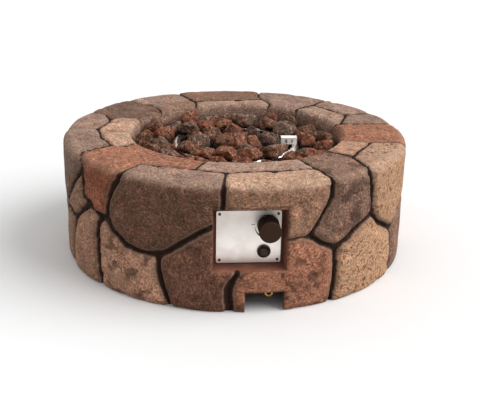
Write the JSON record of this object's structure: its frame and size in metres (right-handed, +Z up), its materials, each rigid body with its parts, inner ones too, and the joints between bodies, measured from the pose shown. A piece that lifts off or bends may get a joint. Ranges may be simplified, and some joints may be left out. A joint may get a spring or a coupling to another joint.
{
  "type": "gas fire pit",
  "caption": "Low round gas fire pit with a cast faux-stone surround, a bed of lava rocks over a ring burner, and a steel control panel in a front recess.",
  "frame": {"origin": "on the ground at the middle of the surround", "axes": "+Z up along the surround's axis; -Y out of the control panel's front; +X to the right seen from the front"},
  "size_m": [0.711, 0.711, 0.25],
  "materials": {
    "cast_stone": "cast and stained, matte",
    "pan_steel": "satin",
    "screw_steel": "dark, satin",
    "burner_steel": "bright",
    "brass": "machined",
    "tube_metal": "drawn",
    "valve_metal": "die cast",
    "knob_plastic": "matte",
    "housing_plastic": "matte",
    "button_plastic": "gloss",
    "panel_steel": "brushed",
    "ceramic": "unglazed",
    "lead_rubber": "matte",
    "copper_tube": "drawn",
    "lava_rock": "porous, matte"
  },
  "bodies": {
    "surround": {"stone_surround": "cast_stone", "burner_pan": "pan_steel", "pan_rim": "pan_steel", "pan_screws": "screw_steel", "burner_ring_back": "burner_steel", "burner_ring_front": "burner_steel", "burner_feet": "pan_steel", "burner_riser": "burner_steel", "riser_nut": "screw_steel", "air_mixer": "valve_metal", "gas_orifice": "brass", "supply_tube": "tube_metal", "flare_nuts": "brass", "valve_body": "valve_metal", "valve_screws": "screw_steel", "inlet_pipe": "tube_metal", "inlet_fitting": "brass", "control_panel": "panel_steel", "panel_screws": "screw_steel", "igniter_body": "housing_plastic", "igniter_nut": "button_plastic", "electrode_ceramic": "ceramic", "electrode_rod": "burner_steel", "thermocouple_probe": "burner_steel", "thermocouple_nut": "brass", "spark_lead": "lead_rubber", "thermocouple_lead": "copper_tube", "lead_bracket": "pan_steel", "igniter_guard": "burner_steel", "lava_rocks_inner": "lava_rock", "lava_rocks_outer": "lava_rock", "lava_rocks_upper": "lava_rock"},
    "plunger": {"valve_plunger": "brass"},
    "knob": {"control_knob": "knob_plastic", "valve_stem": "brass"},
    "button": {"igniter_button": "button_plastic"}
  },
  "joints": [
    {"name": "knob_press", "type": "slide", "parent": "surround", "child": "plunger", "axis": [0, 1, 0], "range_m": [0, 0.003], "stiffness_N_per_m": 1500, "springref_m": -0.004},
    {"name": "knob_turn", "type": "hinge", "parent": "plunger", "child": "knob", "pos_m": [0.0345, -0.33, 0.1586], "axis": [0, -1, 0], "range_deg": [0, 180]},
    {"name": "igniter_press", "type": "slide", "parent": "surround", "child": "button", "axis": [0, 1, 0], "range_m": [0, 0.005], "stiffness_N_per_m": 1200, "springref_m": -0.004}
  ]
}
